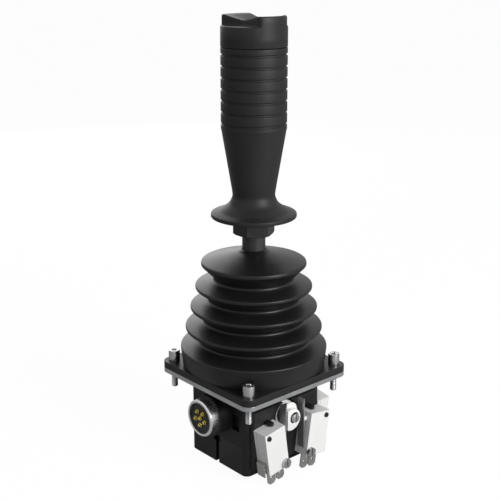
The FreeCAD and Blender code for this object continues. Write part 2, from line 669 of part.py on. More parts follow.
def make_cover_screws():
    """Long screws from under the lower housing up into the mounting plate."""
    screws = []
    for at in four(TIE_X, TIE_Y):
        body = new_body("cover_screw")
        pad(body, "XY_Plane", [circle(at, S.tie_head_rad)], HOUSE_LOW, S.tie_head_high)
        pad(body, "XY_Plane", [circle(at, S.tie_rad)], HOUSE_LOW + 1.0, S.house_low - 1.0 + S.plate_thick)
        cut(body, "XY_Plane", [hexagon(S.tie_key, at)], HOUSE_LOW - 1.0, S.tie_key_deep + 1.0)
        screws.append(body)
    group(screws, "cover_screws")


# Round connector

def make_connector():
    """Shell, insert and pins, on the line of the second axle."""
    inside = S.shell_rad - S.shell_wall
    shell = new_body("connector_shell")
    along(pad, shell, "y", [circle(AXIS, S.shell_rad), circle(AXIS, inside)], -S.shell_end, -S.shell_step)
    root = circle(AXIS, S.shell_rad - S.shell_root)
    along(pad, shell, "y", [root, circle(AXIS, inside)], -S.shell_step, -S.shell_back)
    node(shell, "connector_shell")
    places = [(0, PIVOT)]
    for i in range(5):
        angle = math.radians(54 + 72 * i)
        places.append((S.contact_circle * math.cos(angle), PIVOT + S.contact_circle * math.sin(angle)))
    insert = new_body("connector_insert")
    along(pad, insert, "y", [circle(AXIS, inside)], -S.insert_front, -S.insert_back)
    holes = [circle(at, S.contact_rad) for at in places]
    along(cut, insert, "y", holes, -S.insert_front - 1.0, -S.insert_back + 1.0)
    node(insert, "connector_insert")
    pins = []
    for at in places:
        pin = new_body("connector_pin")
        along(pad, pin, "y", [circle(at, S.contact_rad)], -S.contact_front, -S.insert_back)
        pins.append(pin)
    group(pins, "connector_pins")


# Cams on the long axle stubs

def make_cam_set(prefix, face, turned):
    """Off-centre cam with its hub, disc and slotted screw, outside the housing face."""
    disc_near = face + S.wall_gap
    disc_far = disc_near + S.disc_thick
    top = S.axle_end + S.cam_screw_high
    bore = circle(AXIS, S.axle_rad)
    cam = new_body("cam")
    along(pad, cam, "x", [circle((0, PIVOT - S.cam_off), S.cam_rad), bore], S.cam_near, S.axle_end)
    hub = new_body("cam_hub")
    along(pad, hub, "x", [circle(AXIS, S.hub_rad), bore], disc_far, S.cam_near)
    disc = new_body("cam_disc")
    along(pad, disc, "x", [circle(AXIS, S.disc_rad), bore], disc_near, disc_far)
    screw = new_body("cam_screw")
    along(pad, screw, "x", [circle(AXIS, S.cam_screw_head + 1.0)], S.axle_end, S.axle_end + 0.4)
    along(pad, screw, "x", [circle(AXIS, S.cam_screw_head)], S.axle_end, top)
    along(pad, screw, "x", [circle(AXIS, S.cam_screw_rad)], S.axle_end - S.cam_screw_deep, top - 1.0)
    reach = S.cam_screw_head + 1.0
    half = S.cam_slot / 2
    along(cut, screw, "x", [rectangle(-half, PIVOT - reach, half, PIVOT + reach)], top - S.cam_slot, top + 1.0)
    for body, name in ((cam, "cam"), (hub, "cam_hub"), (disc, "cam_disc"), (screw, "cam_screw")):
        body.Placement = Placement(Vector(), turned)
        node(body, "%s_%s" % (prefix, name))


# Snap-action switches. Each is drawn upright, with its inner top corner at the origin, then leaned.

CASE_MIDDLE = S.case_back + S.case_thick / 2
CASE_FRONT = S.case_back + S.case_thick
LEAN = math.radians(number_of(S.case_lean))
BLADE_IN = S.cam_rad + S.blade_gap


def leaned(side, turned):
    at = Vector(0, side * number_of(S.case_side), -number_of(S.case_top))
    tilt = Rotation(Vector(1, 0, 0), -number_of(S.case_lean) * side)
    return Placement(Vector(), turned).multiply(Placement(at, tilt))


def foot_level():
    """Height of the blade's foot in the leaned frame of its case."""
    out = number_of(BLADE_IN + S.foot_reach * 0.6 - S.case_side)
    down = number_of(S.case_top - S.blade_foot - S.blade_thick / 2)
    return Size(out * math.sin(LEAN) + down * math.cos(LEAN), repr(out * math.sin(LEAN) + down * math.cos(LEAN)))


def plunger_reach():
    """How far the plunger stands out of its case to end just short of the blade."""
    level = number_of(S.case_side) - number_of(S.plunger_down) * math.sin(LEAN)
    straight = (level - number_of(BLADE_IN + S.blade_thick)) / math.cos(LEAN)
    return straight - number_of(S.plunger_high) / 2 * math.tan(LEAN) - number_of(S.blade_gap)


def make_case(label, side, turned):
    wide = S.case_wide * side
    body = new_body("case")
    along(pad, body, "x", [rectangle(0, -S.case_long, wide, 0)], S.case_back, CASE_FRONT)
    holes = [circle((side * (S.case_wide - S.hole_edge), -S.hole_edge), S.hole_rad),
             circle((side * S.hole_edge, S.hole_edge - S.case_long), S.hole_rad)]
    along(cut, body, "x", holes, S.case_back - 1.0, CASE_FRONT + 1.0)
    half_high = S.plunger_high / 2 + S.running
    half_wide = S.plunger_wide / 2 + S.running
    mouth = rectangle(-side, -S.plunger_down - half_high, side * S.plunger_hole, half_high - S.plunger_down)
    along(cut, body, "x", [mouth], CASE_MIDDLE - half_wide, CASE_MIDDLE + half_wide)
    room = S.foot_slack + S.blade_thick / 2
    slot = rectangle(-side, foot_level() - room, side * S.foot_deep, foot_level() + room)
    along(cut, body, "x", [slot], S.blade_back - 0.2, S.blade_back + S.blade_wide + 0.2)
    body.Placement = leaned(side, turned)
    node(body, label)


def make_terminals(label, side, turned):
    """Two flat tabs out of the lower end, and one bent tab on the outer side."""
    end = -S.case_long
    tip = end - S.tab_long
    half = S.tab_wide / 2
    tabs = []
    for i in range(2):
        middle = side * (S.tab_first + S.tab_pitch * i)
        tab = new_body("tab")
        outline = [(middle - half, end), (middle + half, end), (middle + half, tip + S.tab_point),
                   (middle + half - S.tab_point, tip), (middle - half + S.tab_point, tip),
                   (middle - half, tip + S.tab_point)]
        hole = circle((middle, end - S.tab_long * 0.55), S.tab_hole)
        along(pad, tab, "x", [outline, hole], CASE_MIDDLE - S.tab_thick / 2, CASE_MIDDLE + S.tab_thick / 2)
        tabs.append(tab)
    near = S.case_wide
    far = near + S.side_tab_off
    bent = [(near, -S.side_tab_top), (far, -S.side_tab_top), (far, -S.side_tab_low),
            (far - S.tab_thick, -S.side_tab_low), (far - S.tab_thick, -S.side_tab_top - S.tab_thick),
            (near, -S.side_tab_top - S.tab_thick)]
    tab = new_body("side_tab")
    along(pad, tab, "x", [[(y * side, z) for y, z in bent]], CASE_MIDDLE - half, CASE_MIDDLE + half)
    tabs.append(tab)
    for tab in tabs:
        tab.Placement = leaned(side, turned)
    group(tabs, label)


def make_blade(label, side, turned):
    """Leaf lever that stands upright beside the cam, with its foot hooked into the case."""
    near = BLADE_IN
    far = near + S.blade_thick
    foot = near + S.foot_reach
    low = -S.blade_foot - S.blade_thick
    outline = [(near, -S.blade_top), (far, -S.blade_top), (far, -S.blade_foot), (foot, -S.blade_foot),
               (foot, low), (near, low)]
    body = new_body("blade")
    along(pad, body, "x", [[(y * side, z) for y, z in outline]], S.blade_back, S.blade_back + S.blade_wide)
    body.Placement = Placement(Vector(), turned)
    node(body, label)


def make_plunger(label, side, turned):
    half_high = S.plunger_high / 2
    half_wide = S.plunger_wide / 2
    body = new_body("plunger")
    outline = rectangle(-side * plunger_reach(), -S.plunger_down - half_high,
                        side * S.plunger_long, half_high - S.plunger_down)
    along(pad, body, "x", [outline], CASE_MIDDLE - half_wide, CASE_MIDDLE + half_wide)
    body.Placement = leaned(side, turned)
    node(body, label)


def screw_place(side):
    """Where a case's screw crosses the pad, in the pad's own frame."""
    local = Vector(0, side * number_of(S.hole_edge), number_of(S.hole_edge - S.case_long))
    spot = leaned(side, Rotation()).multVec(local)
    return spot.y, spot.z


def make_case_screw(side, face, turned):
    at = screw_place(side)
    front = CASE_FRONT
    body = new_body("case_screw")
    along(pad, body, "x", [circle(at, S.case_screw_rad)], face, front + 1.0)
    along(pad, body, "x", [circle(at, S.case_screw_head)], front, front + S.case_screw_high)
    half = S.cam_slot / 2
    reach = S.case_screw_head + 1.0
    slot = rectangle(at[0] - half, at[1] - reach, at[0] + half, at[1] + reach)
    along(cut, body, "x", [slot], front + S.case_screw_high - S.cam_slot, front + S.case_screw_high + 1.0)
    body.Placement = Placement(Vector(), turned)
    return body


def make_switch_pad(label, face, turned):
    """Pad behind a pair of switches, with a rounded finger over the end of each."""
    body = new_body("switch_pad")
    low_edge = -(S.case_top + S.case_long + S.pad_under)
    outline = rectangle(-S.pad_half, low_edge, S.pad_half, -S.pad_top)
    along(pad, body, "x", [outline], face, S.case_back)
    tip = S.case_back + S.finger_long - S.finger_wide / 2
    half = S.finger_wide / 2
    for side in (1, -1):
        middle = S.finger_at * side
        low = -S.finger_low
        pad(body, "XY_Plane", [rectangle(face, middle - half, tip, middle + half)], low, S.finger_high)
        pad(body, "XY_Plane", [circle((tip, middle), half)], low, S.finger_high)
    holes = [circle(AXIS, S.pad_bore)] + [circle(screw_place(side), S.case_screw_rad) for side in (1, -1)]
    along(cut, body, "x", holes, face - 1.0, S.case_back + 1.0)
    body.Placement = Placement(Vector(), turned)
    node(body, label)


def check_and_export():
    DOC.recompute()
    for thing in DOC.Objects:
        if "Invalid" in thing.State or "Error" in thing.State:
            raise RuntimeError("%s failed: %s" % (thing.Label, thing.State))
    for thing in NODES:
        if thing.Shape.isNull() or not thing.Shape.isValid():
            raise RuntimeError("%s has no valid shape" % thing.Label)
    os.makedirs("parts", exist_ok=True)
    for thing in NODES:
        thing.Shape.exportStep("parts/%s.step" % thing.Label)
        box = thing.Shape.BoundBox
        print("%-20s solids %2d volume %9.1f  x %6.1f %6.1f  y %6.1f %6.1f  z %6.1f %6.1f" % (
            thing.Label, len(thing.Shape.Solids), thing.Shape.Volume,
            box.XMin, box.XMax, box.YMin, box.YMax, box.ZMin, box.ZMax))


make_mounting_plate()
make_gaiter_flange()
make_flange_screws()
make_gaiter()
make_lever_rod()
make_pivot_block()
make_lock_nut()
make_grip()
make_twist_sensor()
make_cap_bearing()
make_twist_cap()
make_cap_shaft()
make_cross_frame()
make_pivot_pin()
make_axles("x_axles", S.frame_x - S.frame_end_wall, INNER_X + S.bush_long - 0.5, Rotation())
make_bail()
make_axles("y_axles", S.bail_arm_in, INNER_Y + S.bush_long - 0.5, QUARTER)
make_axle_bushes()
make_return_spring("x_return_spring", S.frame_x, INNER_X, Rotation())
make_return_spring("y_return_spring", S.bail_arm_in + S.bail_arm, INNER_Y, QUARTER)
make_housing_body()
make_housing_cover()
make_cover_screws()
make_connector()
CASE_SCREWS = []
for axis, face, turned in (("x", S.house_x, Rotation()), ("y", S.house_y, QUARTER)):
    make_cam_set(axis, face, turned)
    make_switch_pad(axis + "_switch_pad", face, turned)
    for hand, side in (("left", -1), ("right", 1)):
        name = "%s_%s_switch" % (axis, hand)
        make_case(name + "_case", side, turned)
        make_terminals(name + "_terminals", side, turned)
        make_blade(name + "_lever", side, turned)
        make_plunger(name + "_plunger", side, turned)
        CASE_SCREWS.append(make_case_screw(side, face, turned))
group(CASE_SCREWS, "switch_screws")
check_and_export()
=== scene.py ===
"""Looks of the two-axis industrial joystick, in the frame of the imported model.

Shapes are written in millimetres and multiplied by MM. Materials, lamps and the camera are in metres.
"""
import json
import math

import bmesh
import bpy
from mathutils import Euler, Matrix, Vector


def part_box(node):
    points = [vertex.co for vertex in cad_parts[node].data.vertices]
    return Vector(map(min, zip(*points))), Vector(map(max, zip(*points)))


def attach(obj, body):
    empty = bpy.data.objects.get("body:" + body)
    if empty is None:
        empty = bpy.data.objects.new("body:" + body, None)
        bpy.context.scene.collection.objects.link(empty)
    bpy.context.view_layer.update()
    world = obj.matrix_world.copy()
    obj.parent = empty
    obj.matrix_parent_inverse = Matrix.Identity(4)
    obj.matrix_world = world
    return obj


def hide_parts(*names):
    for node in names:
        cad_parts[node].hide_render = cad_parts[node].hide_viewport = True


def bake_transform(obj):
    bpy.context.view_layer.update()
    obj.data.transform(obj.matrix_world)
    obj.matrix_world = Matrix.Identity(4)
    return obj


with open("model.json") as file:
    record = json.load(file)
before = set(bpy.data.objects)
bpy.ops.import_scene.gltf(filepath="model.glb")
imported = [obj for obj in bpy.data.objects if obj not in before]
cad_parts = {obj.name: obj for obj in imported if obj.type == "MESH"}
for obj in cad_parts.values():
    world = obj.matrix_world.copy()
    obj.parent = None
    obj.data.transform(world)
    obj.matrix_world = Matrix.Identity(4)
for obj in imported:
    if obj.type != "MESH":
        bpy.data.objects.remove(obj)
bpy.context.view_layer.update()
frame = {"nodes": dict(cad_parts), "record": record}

NODES = frame["nodes"]
MM = 0.001
SWITCHES = ("x_left_switch", "x_right_switch", "y_left_switch", "y_right_switch")
BODY_OF = {}
for body_name, body_nodes in frame["record"]["behaviour"]["bodies"].items():
    for node_name in body_nodes:
        BODY_OF[node_name] = body_name


# Materials

# The slow drift of colour, the fine grain, and where pointed edges begin to look worn
CLOUD_SCALE, CLOUD_DETAIL = 45, 5.0
GRAIN_DETAIL, GRAIN_BUMP = 3.0, 0.3
NOISE_LOW, NOISE_HIGH = 0.3, 0.7
ROUGH_DRIFT, ROUGH_LEAST = 0.06, 0.03
EDGE_LOW, EDGE_HIGH, WORN_SHARE = 0.53, 0.6, 0.6
SEAM_SHADE = 0.35


def new_material(name):
    made = bpy.data.materials.new(name)
    made.use_nodes = True
    tree = made.node_tree
    shader = tree.nodes["Principled BSDF"]
    place = tree.nodes.new("ShaderNodeTexCoord")
    return made, tree, shader, place


def noise_node(tree, place, scale, detail, stretch=(1, 1, 1)):
    mapping = tree.nodes.new("ShaderNodeMapping")
    mapping.inputs["Scale"].default_value = stretch
    noise = tree.nodes.new("ShaderNodeTexNoise")
    noise.inputs["Scale"].default_value = scale
    noise.inputs["Detail"].default_value = detail
    tree.links.new(place.outputs["Object"], mapping.inputs["Vector"])
    tree.links.new(mapping.outputs["Vector"], noise.inputs["Vector"])
    return noise


def range_node(tree, source, low, high, out_low, out_high):
    span = tree.nodes.new("ShaderNodeMapRange")
    limits = {"From Min": low, "From Max": high, "To Min": out_low, "To Max": out_high}
    for label, value in limits.items():
        span.inputs[label].default_value = value
    tree.links.new(source, span.inputs["Value"])
    return span


def mix_colours(tree, factor, first, second):
    mix = tree.nodes.new("ShaderNodeMix")
    mix.data_type = "RGBA"
    for socket, value in ((mix.inputs[6], first), (mix.inputs[7], second)):
        if isinstance(value, bpy.types.NodeSocket):
            tree.links.new(value, socket)
        else:
            socket.default_value = (*value, 1)
    tree.links.new(factor, mix.inputs[0])
    return mix.outputs[2]


def maths_node(tree, operation, source):
    step = tree.nodes.new("ShaderNodeMath")
    step.operation = operation
    tree.links.new(source, step.inputs[0])
    return step


def seam_line(tree, place, axis, where, half):
    """1 on a thin line at a distance along an axis, fading to 0 within its half width."""
    split = tree.nodes.new("ShaderNodeSeparateXYZ")
    tree.links.new(place.outputs["Object"], split.inputs["Vector"])
    away = maths_node(tree, "SUBTRACT", split.outputs[axis])
    away.inputs[1].default_value = where
    distance = maths_node(tree, "ABSOLUTE", away.outputs[0])
    return range_node(tree, distance.outputs[0], half * 0.5, half, 1.0, 0.0)


def finish(name, dark, light, rough, grain, depth, metal=0.0, stretch=(1, 1, 1), specular=0.5,
           seam=None, worn=None):
    """Colour that drifts between two tones, uneven roughness, and a fine grain in relief.

    seam is the axis, place and half width of the dark line where the halves of a moulding meet.
    worn is the paler colour of rubbed edges.
    """
    made, tree, shader, place = new_material(name)
    shader.inputs["Metallic"].default_value = metal
    shader.inputs["Specular IOR Level"].default_value = specular
    cloud = noise_node(tree, place, CLOUD_SCALE, CLOUD_DETAIL)
    drift = range_node(tree, cloud.outputs["Fac"], NOISE_LOW, NOISE_HIGH, 0.0, 1.0)
    colour = mix_colours(tree, drift.outputs["Result"], dark, light)
    specks = noise_node(tree, place, grain, GRAIN_DETAIL, stretch)
    if worn is not None:
        geometry = tree.nodes.new("ShaderNodeNewGeometry")
        edge = range_node(tree, geometry.outputs["Pointiness"], EDGE_LOW, EDGE_HIGH, 0.0, WORN_SHARE)
        colour = mix_colours(tree, edge.outputs["Result"], colour, worn)
    if seam is not None:
        line = seam_line(tree, place, *seam)
        shaded = tuple(tone * SEAM_SHADE for tone in dark)
        colour = mix_colours(tree, line.outputs["Result"], colour, shaded)
    tree.links.new(colour, shader.inputs["Base Color"])
    least = max(rough - ROUGH_DRIFT, ROUGH_LEAST)
    patch = range_node(tree, specks.outputs["Fac"], NOISE_LOW, NOISE_HIGH, least, rough + ROUGH_DRIFT)
    tree.links.new(patch.outputs["Result"], shader.inputs["Roughness"])
    relief = tree.nodes.new("ShaderNodeBump")
    relief.inputs["Strength"].default_value = GRAIN_BUMP
    relief.inputs["Distance"].default_value = depth
    tree.links.new(specks.outputs["Fac"], relief.inputs["Height"])
    tree.links.new(relief.outputs["Normal"], shader.inputs["Normal"])
    return made


RUBBER = finish("gaiter_rubber", (0.0065, 0.0065, 0.007), (0.0095, 0.0095, 0.010), 0.38, grain=2600,
                depth=0.00002, specular=0.36)
GRIP = finish("grip_plastic", (0.013, 0.013, 0.0135), (0.018, 0.018, 0.0185), 0.48, grain=3200,
              depth=0.00003, specular=0.28, worn=(0.03, 0.03, 0.031))
CAP = finish("cap_plastic", (0.015, 0.015, 0.0155), (0.020, 0.020, 0.0205), 0.46, grain=3200,
             depth=0.00003, specular=0.28, worn=(0.034, 0.034, 0.035))
FLANGE = finish("flange_plastic", (0.009, 0.009, 0.0095), (0.013, 0.013, 0.0135), 0.38, grain=2200,
                depth=0.00004, specular=0.3, worn=(0.05, 0.05, 0.05))
HOUSE = finish("housing_plastic", (0.007, 0.007, 0.0075), (0.011, 0.011, 0.0115), 0.42, grain=1800,
               depth=0.00005, specular=0.26, worn=(0.04, 0.04, 0.04))
PLATE = finish("plate_aluminium", (0.44, 0.45, 0.46), (0.56, 0.57, 0.58), 0.34, metal=1.0, grain=900,
               depth=0.00002, stretch=(0.12, 1, 4))
BOLT = finish("zinc_steel", (0.42, 0.42, 0.43), (0.60, 0.60, 0.61), 0.26, metal=1.0, grain=2500,
              depth=0.00001)
SHELL = finish("bright_shell", (0.82, 0.82, 0.83), (0.90, 0.90, 0.91), 0.24, metal=1.0, grain=1500,
               depth=0.00001, stretch=(1, 0.1, 1))
DARK_STEEL = finish("dark_steel", (0.012, 0.012, 0.0125), (0.019, 0.019, 0.020), 0.38, metal=0.3,
                    grain=1800, depth=0.00003, worn=(0.09, 0.09, 0.09))
CAST = finish("cast_metal", (0.22, 0.22, 0.23), (0.33, 0.33, 0.34), 0.5, metal=0.9, grain=1500,
              depth=0.00006)
GOLD = finish("gold_contact", (0.58, 0.46, 0.11), (0.76, 0.64, 0.22), 0.22, metal=1.0, grain=3000,
              depth=0.00001)
BRONZE = finish("bush_bronze", (0.36, 0.22, 0.10), (0.50, 0.33, 0.16), 0.42, metal=0.9, grain=2600,
                depth=0.00004)
NYLON = finish("white_nylon", (0.80, 0.80, 0.79), (0.87, 0.87, 0.86), 0.4, grain=2400, depth=0.00002)
CASE_X = finish("switch_case_x", (0.795, 0.795, 0.785), (0.815, 0.815, 0.805), 0.36, grain=2800,
                depth=0.00002, seam=("X", 0.0325, 0.00011))
CASE_Y = finish("switch_case_y", (0.795, 0.795, 0.785), (0.815, 0.815, 0.805), 0.36, grain=2800,
                depth=0.00002, seam=("Y", 0.0325, 0.00011))
TIN = finish("tinned_metal", (0.38, 0.38, 0.37), (0.55, 0.55, 0.54), 0.32, metal=1.0, grain=1600,
             depth=0.00003, stretch=(1, 1, 0.15))
SPRING = finish("spring_steel", (0.38, 0.38, 0.39), (0.52, 0.52, 0.53), 0.34, metal=0.75, grain=2000,
                depth=0.00002)
INSERT = finish("insert_plastic", (0.016, 0.016, 0.017), (0.026, 0.026, 0.027), 0.55, grain=2600,
                depth=0.00003)

LOOKS = {
    "mounting_plate": PLATE, "gaiter_flange": FLANGE, "flange_screws": BOLT, "gaiter": RUBBER,
    "lever_rod": DARK_STEEL, "pivot_block": CAST, "lock_nut": DARK_STEEL, "grip": GRIP,
    "twist_sensor": INSERT, "cap_bearing": NYLON, "twist_cap": CAP, "cap_shaft": SPRING,
    "cross_frame": CAST, "pivot_pin": SPRING, "x_axles": SPRING, "bail": CAST, "y_axles": SPRING,
    "axle_bushes": BRONZE, "x_return_spring": SPRING, "y_return_spring": SPRING,
    "housing_body": HOUSE, "housing_cover": HOUSE, "cover_screws": BOLT, "connector_shell": SHELL,
    "connector_insert": INSERT, "connector_pins": GOLD, "x_cam": NYLON, "y_cam": NYLON,
    "x_cam_hub": HOUSE, "y_cam_hub": HOUSE, "x_cam_disc": NYLON, "y_cam_disc": NYLON,
    "x_cam_screw": BOLT, "y_cam_screw": BOLT, "x_switch_pad": HOUSE, "y_switch_pad": HOUSE,
    "switch_screws": BOLT,
}
for switch in SWITCHES:
    LOOKS[switch + "_case"] = CASE_X if switch.startswith("x") else CASE_Y
    LOOKS[switch + "_terminals"] = TIN
    LOOKS[switch + "_lever"] = SPRING
    LOOKS[switch + "_plunger"] = NYLON
for node_name, look in LOOKS.items():
    mesh = NODES[node_name].data
    mesh.materials.clear()
    mesh.materials.append(look)


# Building helpers

# Points within WELD metres are joined, and one within ON_AXIS millimetres of the axis counts as on it
WELD = 0.000002
FLAT_ANGLE = math.radians(1.5)
BEVEL_ANGLE = math.radians(35)
FACE_WEIGHT = 100
NEAR_HALF = 0.49
ON_AXIS = 0.0001


def add_piece(name, mesh, look, body):
    """Puts a mesh in the scene with its material, and lets it ride a body if one is given."""
    piece = bpy.data.objects.new(name, mesh)
    bpy.context.scene.collection.objects.link(piece)
    mesh.materials.clear()
    mesh.materials.append(look)
    if body:
        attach(piece, body)
    return piece


def soften(node_name, width):
    """A copy of a CAD node with rounded edges, which stands for it."""
    mesh = NODES[node_name].data.copy()
    work = bmesh.new()
    work.from_mesh(mesh)
    bmesh.ops.remove_doubles(work, verts=work.verts, dist=WELD)
    bmesh.ops.dissolve_limit(work, angle_limit=FLAT_ANGLE, verts=work.verts, edges=work.edges)
    work.to_mesh(mesh)
    work.free()
    mesh.shade_smooth()
    look, body = LOOKS[node_name], BODY_OF[node_name]
    piece = add_piece(node_name + "_rounded", mesh, look, body)
    bevel = piece.modifiers.new("Bevel", "BEVEL")
    bevel.width = width * MM
    bevel.segments = 2
    bevel.limit_method = "ANGLE"
    bevel.angle_limit = BEVEL_ANGLE
    weighted = piece.modifiers.new("WeightedNormal", "WEIGHTED_NORMAL")
    weighted.weight = FACE_WEIGHT
    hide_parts(node_name)


def rounded(profile, steps=5):
    """A profile of (radius, height, rounding) with each corner replaced by an arc, in millimetres."""
    out = []
    for i, (r, z, size) in enumerate(profile):
        here = Vector((r, z))
        if size == 0 or i in (0, len(profile) - 1):
            out.append(here)
            continue
        before = Vector(profile[i - 1][:2]) - here
        after = Vector(profile[i + 1][:2]) - here
        half = before.angle(after) / 2
        reach = min(size / math.tan(half), before.length * NEAR_HALF, after.length * NEAR_HALF)
        start = here + before.normalized() * reach
        end = here + after.normalized() * reach
        for k in range(steps + 1):
            t = k / steps
            out.append(start * (1 - t) ** 2 + here * 2 * t * (1 - t) + end * t ** 2)
    return [(p.x, p.y) for p in out]


def hexagon_reach(angle):
    """How much further than the flats a hexagon reaches at an angle."""
    return 1 / math.cos((angle % (math.pi / 3)) - math.pi / 6)


def lathe(work, profile, centre=(0, 0), steps=120, shapes=None):
    """Turns a profile of (radius, height) about an upright axis.

    shapes gives, by the index of a point, a function of the angle that its radius is multiplied by.
    """
    rings = []
    for i, (r, z) in enumerate(profile):
        if r < ON_AXIS:
            rings.append([work.verts.new((centre[0] * MM, centre[1] * MM, z * MM))])
            continue
        ring = []
        for k in range(steps):
            angle = 2 * math.pi * k / steps
            reach = r * (shapes[i](angle) if shapes and shapes.get(i) else 1)
            ring.append(work.verts.new(((centre[0] + reach * math.cos(angle)) * MM,
                                        (centre[1] + reach * math.sin(angle)) * MM, z * MM)))
        rings.append(ring)
    for low, high in zip(rings, rings[1:]):
        for k in range(steps):
            after = (k + 1) % steps
            corners = [low[k % len(low)], low[after % len(low)]]
            corners += [high[after % len(high)], high[k % len(high)]]
            face = list(dict.fromkeys(corners))
            if len(face) > 2:
                work.faces.new(face)


def mesh_of(work, name, sharp=35):
    bmesh.ops.recalc_face_normals(work, faces=work.faces)
    mesh = bpy.data.meshes.new(name)
    work.to_mesh(mesh)
    work.free()
    mesh.shade_smooth()
    mesh.set_sharp_from_angle(angle=math.radians(sharp))
    return mesh


def stand_in(name, work, look, node_name, sharp=35):
    """A piece of finished shape that stands for a CAD node, on its body."""
    mesh = mesh_of(work, name, sharp)
    piece = add_piece(name, mesh, look, BODY_OF[node_name])
    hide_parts(node_name)


# Camera, light and floor

# The sky lights surfaces weakly, shows brighter in reflections, and white behind the object
SKY_FILL, SKY_MIRRORED, SKY_SEEN = 0.15, 0.7, 1.0
FLOOR_GLOW, FLOOR_SHARE = 1.05, 0.92
FLOOR_HALF, FLOOR_HEIGHT = 6, -0.0575

camera_data = bpy.data.cameras.new("camera")
camera_data.lens = 70.56
camera_data.sensor_width = 36
camera = bpy.data.objects.new("camera", camera_data)
camera.location = (0.4192, -0.3743, 0.2513)
camera.rotation_euler = Euler((math.radians(73), 0, math.radians(48.47)))
bpy.context.scene.collection.objects.link(camera)
bpy.context.scene.camera = camera
bpy.context.scene.view_settings.view_transform = "Standard"


def lamp(name, place, target, size, power):
    """A round lamp of a diameter in metres and a power in watts, turned to a target."""
    data = bpy.data.lights.new(name, "AREA")
    data.shape = "DISK"
    data.size = size
    data.energy = power
    light = bpy.data.objects.new(name, data)
    light.location = place
    light.rotation_euler = (Vector(target) - Vector(place)).to_track_quat("-Z", "Y").to_euler()
    bpy.context.scene.collection.objects.link(light)


lamp("key_light", (1.08, 0.12, 0.52), (0, 0, 0.05), 0.7, 13.5)
lamp("left_light", (-0.45, -1.0, 0.6), (0, 0, 0.08), 0.8, 0.4)
lamp("back_light", (-1.0, 0.5, 0.42), (0, 0, 0.08), 0.9, 3.4)

world = bpy.data.worlds.new("studio")
world.use_nodes = True
bpy.context.scene.world = world
sky = world.node_tree
backdrop = sky.nodes["Background"]
backdrop.inputs["Color"].default_value = (1, 1, 1, 1)
paths = sky.nodes.new("ShaderNodeLightPath")
mirrored = range_node(sky, paths.outputs["Is Glossy Ray"], 0.0, 1.0, SKY_FILL, SKY_MIRRORED)
seen = range_node(sky, paths.outputs["Is Camera Ray"], 0.0, 1.0, SKY_FILL, SKY_SEEN)
brighter = maths_node(sky, "MAXIMUM", mirrored.outputs["Result"])
sky.links.new(seen.outputs["Result"], brighter.inputs[1])
sky.links.new(brighter.outputs[0], backdrop.inputs["Strength"])

floor_look, floor_tree, floor_shader, floor_place = new_material("pale_floor")
speckle = noise_node(floor_tree, floor_place, 30, 3.0)
pale = mix_colours(floor_tree, speckle.outputs["Fac"], (0.58, 0.58, 0.58), (0.62, 0.62, 0.62))
floor_tree.links.new(pale, floor_shader.inputs["Base Color"])
floor_shader.inputs["Roughness"].default_value = 0.8
floor_glow = floor_tree.nodes.new("ShaderNodeEmission")
floor_glow.inputs["Strength"].default_value = FLOOR_GLOW
floor_paths = floor_tree.nodes.new("ShaderNodeLightPath")
floor_share = range_node(floor_tree, floor_paths.outputs["Is Camera Ray"], 0.0, 1.0, 0.0, FLOOR_SHARE)
floor_mix = floor_tree.nodes.new("ShaderNodeMixShader")
floor_tree.links.new(floor_share.outputs["Result"], floor_mix.inputs["Fac"])
floor_tree.links.new(floor_shader.outputs["BSDF"], floor_mix.inputs[1])
floor_tree.links.new(floor_glow.outputs["Emission"], floor_mix.inputs[2])
floor_out = floor_tree.nodes["Material Output"]
floor_tree.links.new(floor_mix.outputs["Shader"], floor_out.inputs["Surface"])
floor_work = bmesh.new()
bmesh.ops.create_grid(floor_work, x_segments=2, y_segments=2, size=FLOOR_HALF)
floor_mesh = bpy.data.meshes.new("floor")
floor_work.to_mesh(floor_mesh)
floor_work.free()
floor_mesh.materials.append(floor_look)
floor = bpy.data.objects.new("floor", floor_mesh)
floor.location.z = FLOOR_HEIGHT
bpy.context.scene.collection.objects.link(floor)


# Rubber gaiter, in two pieces that meet at a height

# Heights of the seam and of the bends, then how sharply the drum's flat sides meet its round ones
SEAM = 36
WALL_DROP = 1.4
UPPER_END, LOWER_START = 70, 9
DRAW_IN = 30
PLATE_TOP, DRUM_TOP = 7, 18.45
PLATE_HALF, DRUM_HALF = 41.3, 44.85
RIMS = [(35.4 + 3.15 * i, 57.7 - 12.85 * i) for i in range(4)]


def gaiter_walls():
    """Outer and inner outline of the bellows from the neck to the foot, as (radius, height, rounding)."""
    outer = [(7.3, 80.6, 0), (8.0, 80.2, 0.4), (9.6, 79.1, 1.2), (20.5, 76.3, 3.0), (31.6, 73.2, 1.1),
             (31.8, 71.3, 0.9)]
    inner = [(7.3, 80.6, 0), (7.3, 77.6, 0.3), (20.5, 74.2, 3.0), (28.9, 71.3, 0.6)]
    for rim, high in RIMS:
        outer += [(rim - 12.6, high + 4.5, 2.2), (rim, high + 0.8, 0.9), (rim, high - 0.8, 0.9)]
        inner += [(rim - 15.0, high + 3.9, 1.2), (rim - 2.9, high, 0.5)]
    outer.append((43.6, 7.05, 0))
    inner += [(40.0, 14.6, 0.3), (36.7, 14.2, 0.2), (36.7, 7.05, 0), (43.6, 7.05, 0)]
    return rounded(outer, 6), rounded(inner, 3)


def split_at(line, height):
    """The points above and below a height, each ending in the first crossing from the foot."""
    for i in range(len(line) - 1, 0, -1):
        (r0, z0), (r1, z1) = line[i - 1], line[i]
        if (z0 - height) * (z1 - height) < 0:
            t = (height - z0) / (z1 - z0)
            cross = (r0 + (r1 - r0) * t, height)
            return line[:i] + [cross], [cross] + line[i:]
    raise ValueError("the outline doesn't cross the height")


